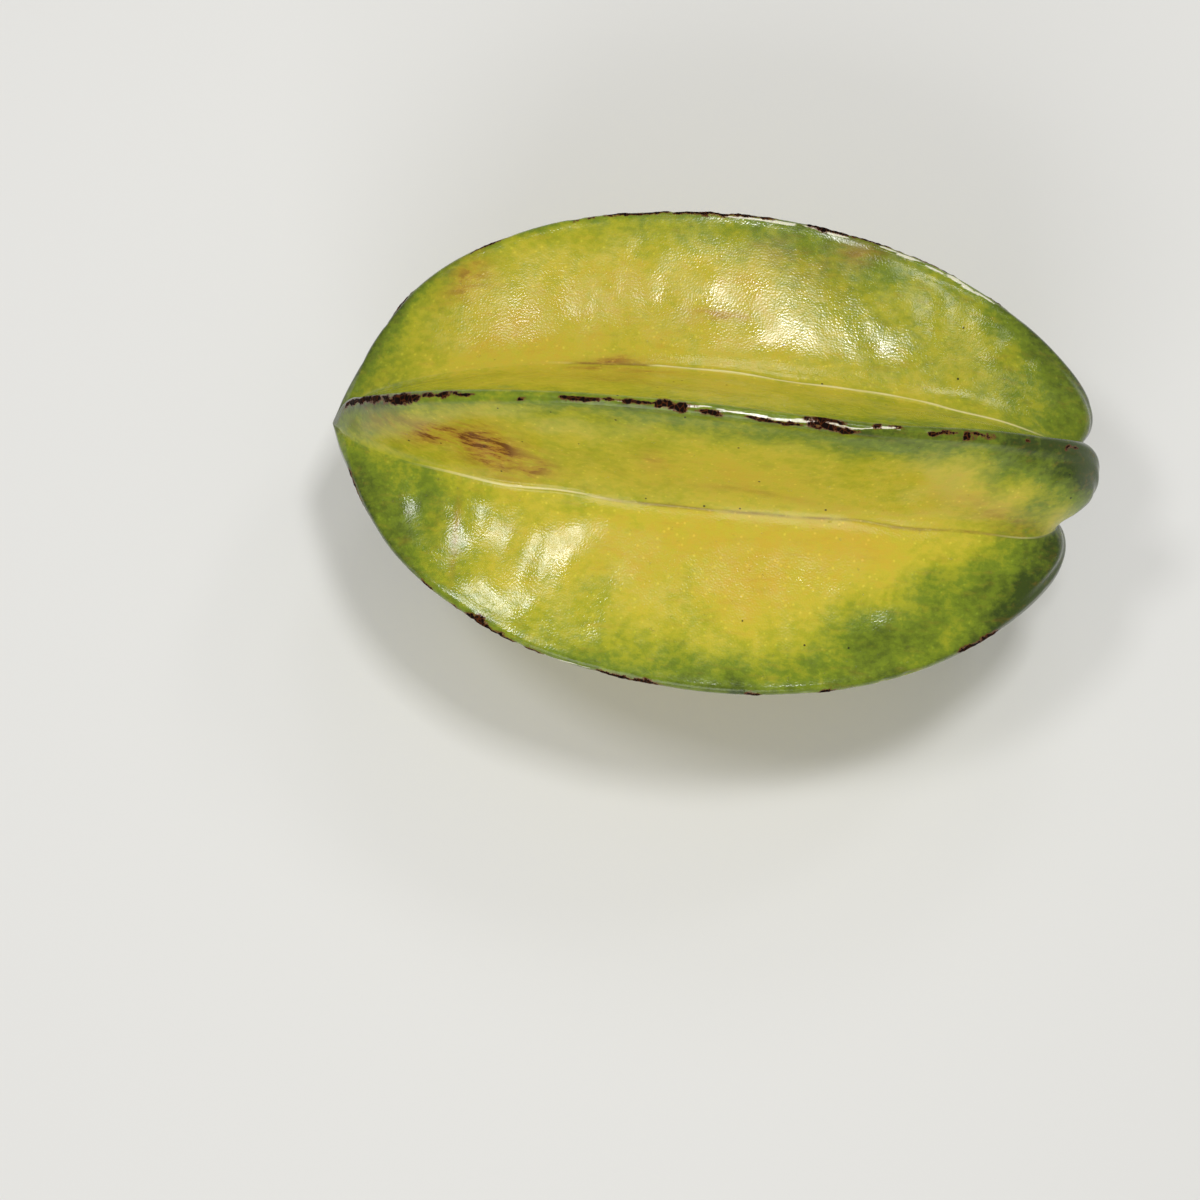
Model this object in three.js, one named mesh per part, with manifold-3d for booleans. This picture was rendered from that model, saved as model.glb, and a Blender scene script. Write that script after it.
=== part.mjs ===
// Star fruit (carambola): one whole ripe fruit with five ribs, lying on two of them.
//
// Millimetres. +X runs along the fruit from the apex to the stem end and +Z is up.
// The origin is under the middle of the fruit, on the surface that it lies on.
//
// The skin is one closed surface of two parameters. The first runs from the apex
// to the stalk scar, and the second runs round the ribs. Two lines drive it: the
// crest line that every rib follows, and the valley line between two ribs. Across
// a rib the skin goes from crest to valley along one section curve.

import * as THREE from 'three';
import { mergeVertices } from 'three/addons/utils/BufferGeometryUtils.js';
import Module from 'manifold-3d';

// ---- Driving dimensions ----

// Outline of a rib's crest: distance from the apex along the axis, and radius.
// It swells to the widest place, then folds round the lobe at the stem end and
// comes back down into the hollow that holds the stalk scar.
const CREST_LINE = [
  [0.0, 0.0], [1.0, 3.4], [3.2, 8.0], [6.6, 14.4], [11.6, 21.0], [19.2, 27.0],
  [30.5, 32.5], [44.0, 35.3], [59.0, 36.0], [74.0, 34.0], [87.0, 29.8], [97.5, 23.8],
  [104.6, 17.8], [108.4, 12.6], [108.8, 8.2], [106.0, 4.6], [104.2, 2.4], [104.6, 1.5], [104.4, 0.0],
];

// Outline of a valley's bottom, with one point for each point of the crest line.
const VALLEY_LINE = [
  [0.0, 0.0], [1.2, 2.8], [3.6, 5.4], [7.8, 8.3], [13.6, 10.9], [22.0, 13.5],
  [33.0, 15.6], [46.0, 17.0], [59.0, 17.4], [73.0, 17.2], [85.0, 16.4], [94.5, 15.0],
  [100.8, 13.0], [104.0, 10.0], [104.4, 6.8], [103.6, 4.0], [103.8, 2.3], [104.6, 1.5], [104.4, 0.0],
];

// The five ribs, in turn from the top one towards +Y. No two are quite alike.
//   angle        degrees from straight up, towards +Y
//   height       scale of the crest's radius, at even steps from apex to scar
//   sway         sideways drift of the crest in mm, at even steps
//   reach        how much further the lobe at the stem end goes, in mm
//   valleyTurn   drift in degrees of the valley that follows, at even steps
//   valleyDepth  scale of that valley's radius on its stem half
const RIBS = [
  {
    angle: 0, height: [1, 1], sway: [0, 1.6, 0.7, 0.2, -0.3, -0.8, 1.3, 1.9, -1.6, -1.2, 0],
    reach: 0.3, valleyTurn: [0, 0, 0, 0, -1, -4.5, -8, -11, -14, -10, -7], valleyDepth: 0.9,
  },
  {
    angle: 72, height: [1, 1.07, 1.03, 0.98, 0.97, 0.965, 0.975, 0.98, 0.99, 1],
    sway: [0, 0.3, -0.4, 0.4, 0, 0], reach: -0.3, valleyTurn: [0, 1, -1.5, 0], valleyDepth: 1,
  },
  {
    angle: 143.5, height: [1, 0.985, 0.985, 0.985, 1], sway: [0, -0.5, 0.4, -0.3, 0.5, 0],
    reach: -0.5, valleyTurn: [0, -1, 2, 0], valleyDepth: 0.97,
  },
  {
    angle: 214.5, height: [1, 0.975, 0.975, 0.96, 1], sway: [0, 0.4, -0.3, 0.5, -0.4, 0],
    reach: -3.5, valleyTurn: [0, 2, -1, 0], valleyDepth: 1.02,
  },
  {
    angle: 286, height: [1, 0.985, 1.03, 1, 1], sway: [0, 0.4, 0, -0.4, 0.3, 0],
    reach: -3, valleyTurn: [0, 0, 0, 0, 0, 1, -3, -9.5, -16, -12, -10], valleyDepth: 1.05,
  },
];
const FEET = [2, 3];

const EDGE_RADIUS = 0.75;   // rounding along the thin edge of a rib
const LOBE_RADIUS = 4.4;    // rounding of the same edge where it folds round the lobe
const FACE_SWELL = 0.92;    // below 1 the face of a rib bulges
const LOBE_SWELL = 0.72;    // the same for the fatter lobes at the stem end
const VALLEY_FLARE = 0.12;  // share of a rib's thickness that comes close to the valley
const FLARE_POWER = 16;     // the higher, the narrower the rounded bottom of the valley
const FLAT_DEPTH = 0.45;    // how much of a crest is pressed flat where the fruit lies on it

const STEPS_ALONG = 46;
const STEPS_ACROSS = 8;     // from a crest to a valley

// ---- Curves ----

const crestCurve = outline(CREST_LINE);
const valleyCurve = outline(VALLEY_LINE);

function outline(points) {
  return new THREE.SplineCurve(points.map(([x, radius]) => new THREE.Vector2(x, radius)));
}

// A smooth value at t from a list given at even steps between 0 and 1.
function along(values, t) {
  return outline(values.map((value, step) => [step, value])).getPoint(t).y;
}

// The edge is thin along the ribs and full at the apex and round the stem end's lobes.
function edgeRadius(t, crestRadius) {
  const lobe = THREE.MathUtils.smoothstep(t, 0.62, 0.8);
  const thin = Math.min(THREE.MathUtils.lerp(EDGE_RADIUS, LOBE_RADIUS, lobe), crestRadius);
  const apex = 1 - THREE.MathUtils.smoothstep(t, 0, 0.14);
  const stem = THREE.MathUtils.smoothstep(t, 0.76, 0.88);
  return THREE.MathUtils.lerp(thin, crestRadius, Math.max(apex, stem));
}

// Half the thickness of the rounded edge at a depth under the crest.
function edgeHalfThickness(radius, depth) {
  const rise = Math.max(radius - depth, 0);
  return Math.sqrt(Math.max(radius * radius - rise * rise, 0));
}

// ---- The valley that follows a rib, and one rib's section ----

function valleyAfter(index, t) {
  const rib = RIBS[index];
  const next = RIBS[(index + 1) % RIBS.length];
  const span = (next.angle - rib.angle + 360) % 360;
  const stemHalf = THREE.MathUtils.smoothstep(t, 0.35, 0.66);
  const point = valleyCurve.getPoint(t);
  return {
    x: point.x,
    radius: point.y * THREE.MathUtils.lerp(1, rib.valleyDepth, stemHalf),
    angle: rib.angle + span / 2 + along(rib.valleyTurn, t),
  };
}

// A point of the skin. share is 0 on the crest of the rib and 1 in the valley,
// and side is 1 towards the next rib and -1 towards the last one.
function skinPoint(index, side, share, t) {
  const rib = RIBS[index];
  const crest = crestCurve.getPoint(t);
  const lobeReach = rib.reach * THREE.MathUtils.smoothstep(t, 0.45, 0.8)
    * (1 - THREE.MathUtils.smoothstep(t, 0.85, 0.95));
  const crestX = crest.x + lobeReach;
  const crestRadius = crest.y * along(rib.height, t);
  const valley = valleyAfter(side > 0 ? index : (index + RIBS.length - 1) % RIBS.length, t);

  const halfAngle = THREE.MathUtils.degToRad(Math.abs(turnBetween(rib.angle, valley.angle)));
  const valleyUp = valley.radius * Math.cos(halfAngle);
  const valleyOut = valley.radius * Math.sin(halfAngle);
  const depth = crestRadius - valleyUp;
  const edge = edgeRadius(t, crestRadius);

  const fat = THREE.MathUtils.smoothstep(t, 0.5, 0.72);
  const swell = THREE.MathUtils.lerp(FACE_SWELL, LOBE_SWELL, fat);
  const spread = (1 - VALLEY_FLARE) * share ** swell + VALLEY_FLARE * share ** FLARE_POWER;
  const thickness = edgeHalfThickness(edge, share * depth)
    + (valleyOut - edgeHalfThickness(edge, depth)) * spread;
  const up = crestRadius - share * depth;
  const out = side * thickness + along(rib.sway, t) * (1 - share) ** 1.5;
  const x = THREE.MathUtils.lerp(crestX, valley.x, share ** 1.3);

  const turn = THREE.MathUtils.degToRad(rib.angle);
  return [x, up * Math.sin(turn) + out * Math.cos(turn), up * Math.cos(turn) - out * Math.sin(turn)];
}

function turnBetween(from, to) {
  return THREE.MathUtils.euclideanModulo(to - from + 180, 360) - 180;
}

// ---- The closed skin ----

// Steps across a rib lie close together at the thin edge and again in the valley.
function shareAt(step) {
  return Math.sin((Math.PI / 2) * (step / STEPS_ACROSS)) ** 2.7;
}

// One ring of points round all five ribs, from each rib's last valley over its crest.
function ring(t) {
  const points = [];
  RIBS.forEach((rib, index) => {
    for (let step = STEPS_ACROSS; step > 0; step -= 1) {
      points.push(skinPoint(index, -1, shareAt(step), t));
    }
    for (let step = 0; step < STEPS_ACROSS; step += 1) {
      points.push(skinPoint(index, 1, shareAt(step), t));
    }
  });
  return points;
}

function skinGeometry() {
  const around = RIBS.length * 2 * STEPS_ACROSS;
  const apex = [CREST_LINE[0][0], 0, 0];
  const scar = [CREST_LINE.at(-1)[0], 0, 0];
  const positions = [apex];
  for (let row = 1; row < STEPS_ALONG; row += 1) {
    positions.push(...ring(row / STEPS_ALONG));
  }
  positions.push(scar);

  const faces = [];
  const lastRow = STEPS_ALONG - 2;
  const scarIndex = positions.length - 1;
  const at = (row, column) => 1 + row * around + (column % around);
  for (let column = 0; column < around; column += 1) {
    faces.push(0, at(0, column), at(0, column + 1));
    faces.push(scarIndex, at(lastRow, column + 1), at(lastRow, column));
    for (let row = 0; row < lastRow; row += 1) {
      faces.push(at(row, column), at(row + 1, column), at(row + 1, column + 1));
      faces.push(at(row, column), at(row + 1, column + 1), at(row, column + 1));
    }
  }

  const geometry = new THREE.BufferGeometry();
  geometry.setAttribute('position', new THREE.Float32BufferAttribute(positions.flat(), 3));
  geometry.setIndex(faces);
  return geometry;
}

// ---- Lying on two ribs ----

// Lowest point of one rib's crest.
function lowestOnCrest(index) {
  let lowest = new THREE.Vector3(0, 0, Infinity);
  for (let row = 1; row < STEPS_ALONG; row += 1) {
    const point = new THREE.Vector3(...skinPoint(index, 1, 0, row / STEPS_ALONG));
    if (point.z < lowest.z) {
      lowest = point;
    }
  }
  return lowest;
}

// Rolls the fruit until both feet are level, then sets it on z = 0 round the origin.
function layDown(geometry) {
  const [near, far] = FEET.map(lowestOnCrest);
  const roll = Math.atan2(near.z - far.z, near.y - far.y);
  geometry.rotateX(-roll);
  geometry.computeBoundingBox();
  const box = geometry.boundingBox;
  const middle = box.getCenter(new THREE.Vector3());
  geometry.translate(-middle.x, -middle.y, -box.min.z - FLAT_DEPTH);
  return geometry;
}

// ---- Solid work ----

const wasm = await Module();
wasm.setup();

function toSolid(geometry) {
  const bare = geometry.clone();
  bare.deleteAttribute('normal');
  bare.deleteAttribute('uv');
  const merged = mergeVertices(bare, 1e-4);
  return new wasm.Manifold(new wasm.Mesh({
    numProp: 3,
    vertProperties: Float32Array.from(merged.attributes.position.array),
    triVerts: Uint32Array.from(merged.index.array),
  }));
}

function toGeometry(solid) {
  const mesh = solid.getMesh();
  const geometry = new THREE.BufferGeometry();
  geometry.setAttribute('position', new THREE.BufferAttribute(mesh.vertProperties, 3));
  geometry.setIndex(new THREE.BufferAttribute(mesh.triVerts, 1));
  geometry.computeVertexNormals();
  return geometry;
}

// Presses the two lowest crests flat, where the fruit meets the surface under it.
function pressFlats(geometry) {
  const ground = new THREE.BoxGeometry(200, 200, 20);
  ground.translate(0, 0, -10);
  return toGeometry(toSolid(geometry).subtract(toSolid(ground)));
}

// ---- The fruit ----

const skin = new THREE.MeshStandardMaterial({ color: 0xb5b23a, roughness: 0.38, metalness: 0 });
const fruit = new THREE.Mesh(pressFlats(layDown(skinGeometry())), skin);
fruit.name = 'fruit';

const group = new THREE.Group();
group.add(fruit);

export default group;
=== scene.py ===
"""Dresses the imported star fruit: a finely modelled waxy skin, a pale floor, soft light and a camera.

Blender's units are metres. Lengths along and across the fruit are written in millimetres, as on a
drawing, and MM turns them into metres where the mesh is made.
"""

import math

import bpy
import numpy as np
from bpy.props import FloatProperty, FloatVectorProperty, IntProperty, PointerProperty
from mathutils import Matrix, Vector


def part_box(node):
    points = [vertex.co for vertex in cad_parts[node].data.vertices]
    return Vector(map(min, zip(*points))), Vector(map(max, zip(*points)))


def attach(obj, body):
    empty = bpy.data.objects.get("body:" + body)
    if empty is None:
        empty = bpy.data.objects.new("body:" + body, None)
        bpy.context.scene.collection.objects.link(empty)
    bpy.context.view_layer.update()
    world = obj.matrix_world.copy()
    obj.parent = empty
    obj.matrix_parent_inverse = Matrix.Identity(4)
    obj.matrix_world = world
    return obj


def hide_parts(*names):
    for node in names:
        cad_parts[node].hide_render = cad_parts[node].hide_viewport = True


bl_info = {
    "name": "Star Fruit",
    "version": (1, 0, 0),
    "blender": (4, 5, 0),
    "location": "View3D > Sidebar > Star Fruit",
    "description": "Models a whole ripe star fruit with its waxy skin, scabs and bruises",
    "category": "Add Mesh",
}

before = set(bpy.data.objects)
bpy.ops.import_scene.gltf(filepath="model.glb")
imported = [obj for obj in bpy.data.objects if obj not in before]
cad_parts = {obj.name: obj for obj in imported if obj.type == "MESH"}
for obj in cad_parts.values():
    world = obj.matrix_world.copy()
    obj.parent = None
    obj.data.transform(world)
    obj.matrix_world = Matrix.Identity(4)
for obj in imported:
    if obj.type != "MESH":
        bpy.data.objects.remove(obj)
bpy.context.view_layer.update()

MM = 0.001

# ---- The grown shape, in millimetres ----

# A rib's crest as distance from the apex and radius, from the apex round the lobe to the scar.
CREST_LINE = [
    (0.0, 0.0), (1.0, 3.4), (3.2, 8.0), (6.6, 14.4), (11.6, 21.0), (19.2, 27.0),
    (30.5, 32.5), (44.0, 35.3), (59.0, 36.0), (74.0, 34.0), (87.0, 29.8), (97.5, 23.8),
    (104.6, 17.8), (108.4, 12.6), (108.8, 8.2), (106.0, 4.6), (104.2, 2.4), (104.6, 1.5), (104.4, 0.0),
]
# The bottom of a valley, with one point for each point of the crest line.
VALLEY_LINE = [
    (0.0, 0.0), (1.2, 2.8), (3.6, 5.4), (7.8, 8.3), (13.6, 10.9), (22.0, 13.5),
    (33.0, 15.6), (46.0, 17.0), (59.0, 17.4), (73.0, 17.2), (85.0, 16.4), (94.5, 15.0),
    (100.8, 13.0), (104.0, 10.0), (104.4, 6.8), (103.6, 4.0), (103.8, 2.3), (104.6, 1.5), (104.4, 0.0),
]

# The five ribs, in turn from the top one towards +Y. Lists run at even steps from apex to scar.
#   angle: degrees from straight up. height: scale of the crest's radius. sway: sideways drift.
#   reach: extra length of the lobe. valley_turn: drift in degrees of the valley that follows.
#   valley_depth: scale of that valley's radius on its stem half.
#   scabs: corky scars on the crest as (from, to, half width, lean to the +side).
RIBS = [
    {
        "angle": 0, "height": (1, 1),
        "sway": (0, 1.6, 0.7, 0.2, -0.3, -0.8, 1.3, 1.9, -1.6, -1.2, 0),
        "reach": 0.3, "valley_turn": (0, 0, 0, 0, -1, -4.5, -8, -11, -14, -10, -7),
        "valley_depth": 0.9,
        "scabs": (
            (1.5, 8.9, 0.62, 0.1), (8.5, 13.5, 1.0, -0.1), (14.2, 19.3, 0.65, 0.1),
            (19, 21.2, 0.28, 0.1), (27.2, 28.4, 0.35, -0.6), (33.8, 39.2, 0.32, 0.1),
            (38.8, 46.6, 0.34, 0.1), (46, 51.2, 0.85, -0.1), (51.9, 54.9, 0.6, -0.85),
            (57.6, 60, 0.25, -0.55), (60, 65.6, 0.34, -0.6), (65.6, 71.6, 0.45, 0.45),
            (66.6, 73.4, 0.6, -0.7), (75.2, 77.2, 0.5, 0.3), (78.3, 80, 0.35, 0.3),
            (82.5, 84.5, 0.35, -0.1), (84.3, 86.4, 0.5, 0.2), (88.3, 90.1, 0.7, -0.2),
            (90.2, 92.7, 0.5, -0.2), (96.5, 97.7, 0.35, -0.2), (103.2, 104.8, 0.35, 0.2),
        ),
    },
    {
        "angle": 72, "height": (1, 1.07, 1.03, 0.98, 0.97, 0.965, 0.975, 0.98, 0.99, 1),
        "sway": (0, 0.3, -0.4, 0.4, 0, 0),
        "reach": -0.3, "valley_turn": (0, 1, -1.5, 0), "valley_depth": 1,
        "scabs": (
            (8.5, 10.5, 0.3, -0.3), (18.2, 22, 0.3, -0.4), (33.4, 35.2, 0.45, -0.5),
            (36.8, 40.6, 0.55, -0.5), (40.4, 47, 0.36, -0.4), (46.6, 57.6, 0.65, -0.5),
            (58.2, 61.4, 0.55, -0.5), (65, 70.6, 0.55, -0.4), (70.4, 79, 0.3, -0.2),
            (79, 88, 0.3, 0.1), (92, 94.5, 0.4, 0),
        ),
    },
    {
        "angle": 143.5, "height": (1, 0.985, 0.985, 0.985, 1),
        "sway": (0, -0.5, 0.4, -0.3, 0.5, 0),
        "reach": -0.5, "valley_turn": (0, -1, 2, 0), "valley_depth": 0.97,
        "scabs": (
            (4, 9, 0.6, 0.1), (17, 19, 0.9, -0.3), (27, 35, 0.6, 0.2), (46, 49, 1.0, 0),
            (52, 66, 0.7, 0.1), (71, 73, 0.8, -0.3), (81, 88, 0.6, 0.2), (95, 97, 0.7, 0),
        ),
    },
    {
        "angle": 214.5, "height": (1, 0.975, 0.975, 0.96, 1),
        "sway": (0, 0.4, -0.3, 0.5, -0.4, 0),
        "reach": -3.5, "valley_turn": (0, 2, -1, 0), "valley_depth": 1.02,
        "scabs": (
            (2, 6, 0.7, 0), (12, 22, 0.6, -0.2), (31, 33, 1.0, 0.3), (40, 52, 0.8, -0.1),
            (58, 61, 0.6, 0), (69, 77, 0.9, 0.1), (84, 86, 0.6, -0.4), (92, 98, 0.6, 0),
        ),
    },
    {
        "angle": 286, "height": (1, 0.985, 1.03, 1, 1),
        "sway": (0, 0.4, 0, -0.4, 0.3, 0),
        "reach": -3, "valley_turn": (0, 0, 0, 0, 0, 1, -3, -9.5, -16, -12, -10),
        "valley_depth": 1.05,
        "scabs": (
            (3, 6, 0.4, 0.2), (15, 17, 0.4, 0), (19, 20.8, 0.6, 0.1), (21.8, 29.2, 0.8, 0.1),
            (30.5, 33, 0.35, 0), (41, 50, 0.7, 0.1), (62, 64, 0.8, -0.2), (72, 75, 0.5, 0),
            (92.5, 97, 0.7, 0.2),
        ),
    },
]
TOP, NORTH, NEAR = 0, 1, 4
FEET = (2, 3)                   # the ribs that it lies on
FOOT_STRETCH = (0.2, 0.8)       # stretch of t in which a foot's lowest point is looked for
FOOT_SAMPLES = 400

EDGE_RADIUS = 0.75      # rounding along the thin edge of a rib
LOBE_RADIUS = 4.4       # rounding of the same edge where it folds round the lobe
FACE_SWELL = 0.92       # below 1 the face of a rib bulges
LOBE_SWELL = 0.72       # the same for the fatter lobes at the stem end
VALLEY_FLARE = 0.12     # share of a rib's thickness that comes close to the valley
FLARE_POWER = 16        # the higher, the narrower the rounded bottom of the valley
SWAY_FADE = 1.5         # the higher, the closer to the crest a rib's sway stays
RAKE_POWER = 1.3        # the higher, the later a section moves on from the crest's place to the valley's

# Stretches of t, from 0 at the apex to 1 at the scar, over which one form gives way to the next.
APEX_GROWS_THIN = (0.0, 0.14)
EDGE_GROWS_FAT = (0.62, 0.80)
STEM_GROWS_ROUND = (0.76, 0.88)
FACE_TURNS_LOBE = (0.50, 0.72)
VALLEY_DEEPENS = (0.35, 0.66)
REACH_COMES = (0.45, 0.80)
REACH_GOES = (0.85, 0.95)

COLUMN_CROWDING = 2.3   # the higher, the closer the mesh columns lie to the crest
CURVE_SAMPLES = 4000    # points that measure the crest line for even rows

# ---- Markings, in millimetres ----

# Distance from the axis over which the cork of the stalk scar ends.
STALK_SCAR = (1.6, 2.8)

# Stretches of a crest painted with a pale line as their highlight: rib, from, to, half width and lean to the
# +side.
PAINTED_CREST_HIGHLIGHTS = (
    (TOP, 49.5, 79.0, 0.28, 0.0),
    (NORTH, 54.0, 72.0, 0.24, -1.0),
    (NORTH, 76.5, 93.0, 0.28, -1.0),
    (NEAR, 33.0, 40.0, 0.22, 0.1),
    (FEET[1], 52.0, 57.0, 0.22, 0.0),
)

# Distance from the apex at which the fine line along the bottom of each valley starts, in the order of
# the ribs before the valleys, and how far it takes to reach its full strength.
LINE_STARTS = (28.0, 6.0, 6.0, 6.0, 10.0)
LINE_RISE = 16.0

# Stretches of valley floor drawn olive brown, partly its own brown and partly painted shade in the crease
# under an overhanging face: the rib before the valley, distance from the apex and half length.
BROWN_AND_SHADED_VALLEYS = (
    (TOP, 39.5, 7.0),
    (NORTH, 63.0, 13.0),
    (FEET[0], 36.0, 12.0),
    (FEET[1], 70.0, 15.0),
    (NEAR, 69.0, 32.0),
)

# Brown fibrous bruises: rib, side, distance from the apex, distance from the crest, half length,
# half width, drift towards the valley per length, and strength.
BRUISES = (
    (TOP, -1, 18.0, 9.8, 6.0, 3.0, 0.40, 1.6),
    (TOP, -1, 23.0, 12.4, 5.5, 4.6, 0.55, 1.7),
    (TOP, -1, 10.0, 4.6, 6.0, 2.0, 0.30, 0.5),
    (TOP, -1, 28.5, 16.2, 4.5, 2.6, 0.60, 1.2),
    (TOP, -1, 46.5, 14.0, 2.2, 2.6, 0.20, 0.5),
    (TOP, -1, 62.0, 20.0, 12.0, 0.9, 0.0, 0.4),
    (TOP, -1, 95.0, 14.0, 8.0, 2.2, 0.05, 0.45),
    (TOP, 1, 41.0, 22.0, 7.0, 0.9, 0.0, 1.1),
    (TOP, 1, 47.0, 12.5, 13.0, 4.0, 0.0, 0.25),
    (NORTH, -1, 17.8, 4.4, 3.4, 3.0, 0.30, 0.75),
    (NORTH, -1, 53.5, 15.2, 4.5, 0.5, -0.17, 1.1),
    (NORTH, -1, 38.5, 22.8, 6.0, 0.8, 0.0, 0.9),
    (NORTH, -1, 66.0, 4.2, 9.0, 1.2, -0.05, 0.35),
    (NORTH, -1, 64.5, 7.0, 7.0, 3.0, 0.0, 0.40),
    (NORTH, -1, 73.0, 2.6, 4.0, 1.4, -0.05, 0.6),
    (NORTH, 1, 62.0, 10.0, 9.0, 2.6, 0.15, 0.7),
    (FEET[0], 1, 34.0, 9.0, 8.0, 2.4, -0.2, 0.6),
    (FEET[1], 1, 76.0, 8.0, 7.0, 3.0, 0.2, 0.6),
    (NEAR, 1, 19.6, 9.5, 0.45, 6.0, 0.0, 0.6),
    (NEAR, -1, 40.0, 12.0, 9.0, 2.2, 0.1, 0.6),
)

# Greener (above 0) and riper (below 0) patches: rib, side, distance from the apex, distance from the
# crest, half length, half width and change of tone.
TONES = (
    (NORTH, -1, 30.0, 18.0, 16.0, 8.0, -0.20),
    (NORTH, -1, 50.0, 13.0, 12.0, 7.0, -0.08),
    (NORTH, -1, 83.0, 11.0, 12.0, 7.5, 0.13),
    (NORTH, -1, 34.0, 3.0, 12.0, 4.0, -0.11),
    (NORTH, -1, 15.0, 6.0, 10.0, 6.0, -0.10),
    (NORTH, -1, 66.0, 6.5, 8.0, 3.5, 0.10),
    (NORTH, -1, 57.0, 3.5, 20.0, 4.0, 0.13),
    (NORTH, 1, 35.0, 14.0, 16.0, 8.0, -0.20),
    (NORTH, 1, 70.0, 6.0, 16.0, 6.0, 0.18),
    (TOP, 1, 40.0, 20.0, 25.0, 7.0, -0.12),
    (TOP, 1, 62.0, 9.0, 32.0, 7.0, 0.08),
    (TOP, 1, 84.0, 10.0, 14.0, 9.0, 0.12),
    (TOP, -1, 74.0, 3.0, 26.0, 4.0, 0.16),
    (TOP, -1, 46.0, 2.0, 14.0, 4.0, 0.12),
    (TOP, -1, 56.0, 16.0, 16.0, 7.0, -0.20),
    (TOP, -1, 12.0, 6.0, 10.0, 5.0, -0.16),
    (TOP, -1, 93.0, 10.0, 9.0, 5.0, -0.24),
    (TOP, -1, 98.5, 9.5, 4.5, 4.5, -0.22),
    (TOP, -1, 108.5, 3.0, 3.0, 5.0, 0.30),
    (TOP, 1, 108.0, 3.0, 4.0, 6.0, 0.30),
    (TOP, -1, 99.0, 3.0, 8.0, 3.0, 0.05),
    (TOP, -1, 84.0, 20.0, 12.0, 4.0, -0.10),
    (NEAR, 1, 56.0, 20.0, 17.0, 9.0, -0.22),
    (NEAR, 1, 74.0, 19.0, 12.0, 6.0, -0.15),
    (NEAR, 1, 82.0, 8.3, 12.0, 5.6, 0.44),
    (NEAR, 1, 92.0, 14.0, 8.0, 5.0, -0.14),
    (NEAR, 1, 64.0, 3.0, 20.0, 4.0, 0.20),
    (NEAR, 1, 15.0, 9.0, 6.0, 8.0, 0.20),
    (NEAR, 1, 4.0, 5.0, 4.0, 7.0, -0.12),
    (NEAR, 1, 21.0, 14.0, 8.0, 8.0, 0.10),
    (NEAR, 1, 103.0, 4.0, 6.0, 6.0, 0.20),
    (NEAR, -1, 58.0, 18.0, 18.0, 8.0, -0.20),
    (NEAR, -1, 25.0, 6.0, 12.0, 5.0, 0.15),
    (FEET[0], -1, 48.0, 17.0, 18.0, 8.0, -0.20),
    (FEET[0], 1, 64.0, 17.0, 16.0, 8.0, -0.18),
    (FEET[0], 1, 30.0, 5.0, 12.0, 5.0, 0.18),
    (FEET[1], -1, 40.0, 17.0, 18.0, 8.0, -0.22),
    (FEET[1], 1, 54.0, 17.0, 16.0, 8.0, -0.18),
    (FEET[1], 1, 88.0, 6.0, 12.0, 6.0, 0.18),
)

# Calmer parts of the faces, as a share taken off their lumps, written like the tones.
CALM = (
    (NEAR, 1, 64.0, 15.0, 15.0, 8.0, 0.85),
    (NORTH, -1, 93.0, 13.0, 11.0, 9.0, 0.80),
    (FEET[0], 1, 40.0, 12.0, 14.0, 8.0, 0.70),
    (FEET[1], -1, 62.0, 13.0, 15.0, 8.0, 0.70),
)

# How far a unit of noise moves the outlines of the markings.
CREST_WANDER = 0.16             # marks on a crest, sideways
CREST_FRAY = 0.4                # and at their ends
BRUISE_WANDER = 0.5
PATCH_WANDER = (2.0, 1.2)       # along and across the rib
SUTURE_WANDER = 0.16
BROWN_AND_SHADE_WANDER = 1.5

# A mark on a crest starts to come in this far before its end, and is full this far inside it.
MARK_BEFORE_END = 0.5
MARK_INSIDE_END = 0.7
MARK_PINCH = 0.45               # share of its width that it loses towards its ends
MARK_LEAST_WIDTH = 0.2          # share that it always keeps
MARK_UNEVEN = (0.9, 0.22)       # mean width as a share, and its change for a unit of noise
MARK_THINNEST = 0.12
MARK_SIDES = (0.3, 1.7)         # half widths off its middle between which it fades out

SCAB_GAPS = (-1.3, -0.4)        # noise below which a scab is thin, and above which it is whole
THIN_SCAB = 0.55                # strength that is left in the gaps
BROWN_AND_SHADE_END = (0.75, 1.15)      # half lengths off its middle between which a brown and shaded stretch ends

# ---- Relief of the skin, in millimetres ----

# Height or depth, distance from the crest and half width.
RIM = (0.10, 0.9, 0.6)
RIM_FURROW = (0.13, 2.3, 0.8)
RIM_GROWS_FULL = (45, 75)       # distance from the apex over which the rim doubles
RIM_UNEVEN = (0.9, 0.2)         # mean strength, and its change for a unit of noise, as are the next two
CRUMPLE_UNEVEN = (0.75, 0.45)
CRUST_UNEVEN = (0.75, 0.35)

# Height or depth, distance from the line along a valley's bottom and half width.
SUTURE_RIDGE = (0.14, 0, 0.18)
SUTURE_FURROW = (0.16, 0.5, 0.3)
SUTURE_ENDS = (88, 99)          # distance from the apex over which it fades into the lobes
SUTURE_BREAKS = (-1.2, 0.6)     # noise between which it goes from nothing to its full depth

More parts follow.
